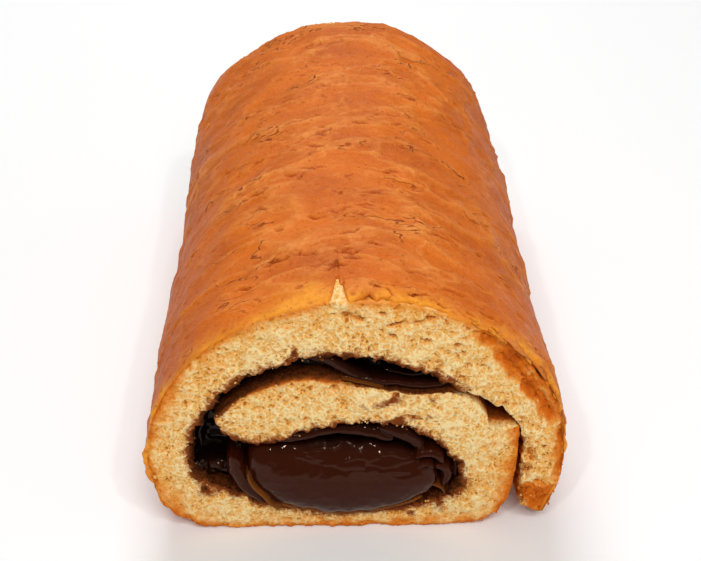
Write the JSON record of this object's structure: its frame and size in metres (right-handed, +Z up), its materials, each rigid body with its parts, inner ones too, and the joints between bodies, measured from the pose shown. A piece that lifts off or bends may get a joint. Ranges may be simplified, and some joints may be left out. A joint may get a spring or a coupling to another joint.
{
  "type": "swiss roll cake",
  "caption": "Whole rolled sponge cake with a browned skin, cut square at both ends, showing a soft chocolate filling in its fold.",
  "frame": {"origin": "under the middle of the roll, on the surface that it lies on", "axes": "+Y along the roll, away from the cut end that is the front, +X to the right seen from that end, +Z up"},
  "size_m": [0.1146, 0.1916, 0.0799],
  "materials": {
    "sponge": "open sponge crumb under a browned matt skin",
    "chocolate": "wet glossy chocolate cream"
  },
  "bodies": {
    "root": {"sponge": "sponge", "filling": "chocolate"}
  },
  "joints": []
}
